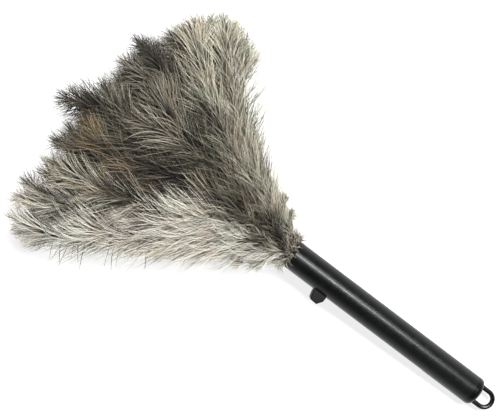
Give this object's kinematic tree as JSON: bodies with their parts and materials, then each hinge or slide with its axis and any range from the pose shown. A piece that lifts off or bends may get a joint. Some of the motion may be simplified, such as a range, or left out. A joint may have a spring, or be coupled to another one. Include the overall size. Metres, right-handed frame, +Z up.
{
  "type": "feather duster",
  "caption": "Retractable feather duster with a straight tube handle, side slide knob, rear hang loop and a fanned bunch of soft plumes.",
  "frame": {"origin": "middle of the bounding box, on the surface that the duster lies on", "axes": "+X along the duster's length from the feathers towards the hang loop, +Z up, knob on the -Y side; the handle's own axis slopes 5.7 degrees down towards the loop"},
  "size_m": [0.5388, 0.2876, 0.1347],
  "materials": {
    "handle_plastic": "satin",
    "cap_plastic": "satin",
    "loop_plastic": "satin",
    "knob_plastic": "satin",
    "carriage_plastic": "satin",
    "ring_rubber": "matte",
    "dowel_wood": "matte",
    "pin_steel": "satin",
    "ferrule_plastic": "satin",
    "wire_steel": "satin",
    "plume_dark": "matte",
    "plume_mid": "matte",
    "plume_light": "matte"
  },
  "bodies": {
    "handle": {"handle_tube": "handle_plastic", "end_cap": "cap_plastic", "hang_loop": "loop_plastic"},
    "slider": {"carriage": "carriage_plastic", "slide_knob": "knob_plastic", "friction_ring_front": "ring_rubber", "friction_ring_rear": "ring_rubber", "core_dowel": "dowel_wood", "dowel_pin": "pin_steel", "quill_ferrule": "ferrule_plastic", "binding_wire": "wire_steel", "plume_outer_01": "plume_dark", "plume_outer_02": "plume_light", "plume_outer_03": "plume_mid", "plume_outer_04": "plume_dark", "plume_outer_05": "plume_light", "plume_outer_06": "plume_mid", "plume_outer_07": "plume_dark", "plume_outer_08": "plume_light", "plume_outer_09": "plume_mid", "plume_outer_10": "plume_dark", "plume_middle_01": "plume_dark", "plume_middle_02": "plume_light", "plume_middle_03": "plume_mid", "plume_middle_04": "plume_dark", "plume_middle_05": "plume_light", "plume_middle_06": "plume_mid", "plume_middle_07": "plume_dark", "plume_middle_08": "plume_light", "plume_inner_01": "plume_dark", "plume_inner_02": "plume_light", "plume_inner_03": "plume_mid", "plume_inner_04": "plume_dark", "plume_inner_05": "plume_light"}
  },
  "joints": [
    {"name": "head_slide", "type": "slide", "parent": "handle", "child": "slider", "axis": [0.9951, 0, -0.0993], "range_m": [0, 0.127], "deforming": ["plume_outer_01", "plume_outer_02", "plume_outer_03", "plume_outer_04", "plume_outer_05", "plume_outer_06", "plume_outer_07", "plume_outer_08", "plume_outer_09", "plume_outer_10", "plume_middle_01", "plume_middle_02", "plume_middle_03", "plume_middle_04", "plume_middle_05", "plume_middle_06", "plume_middle_07", "plume_middle_08", "plume_inner_01", "plume_inner_02", "plume_inner_03", "plume_inner_04", "plume_inner_05"]}
  ]
}
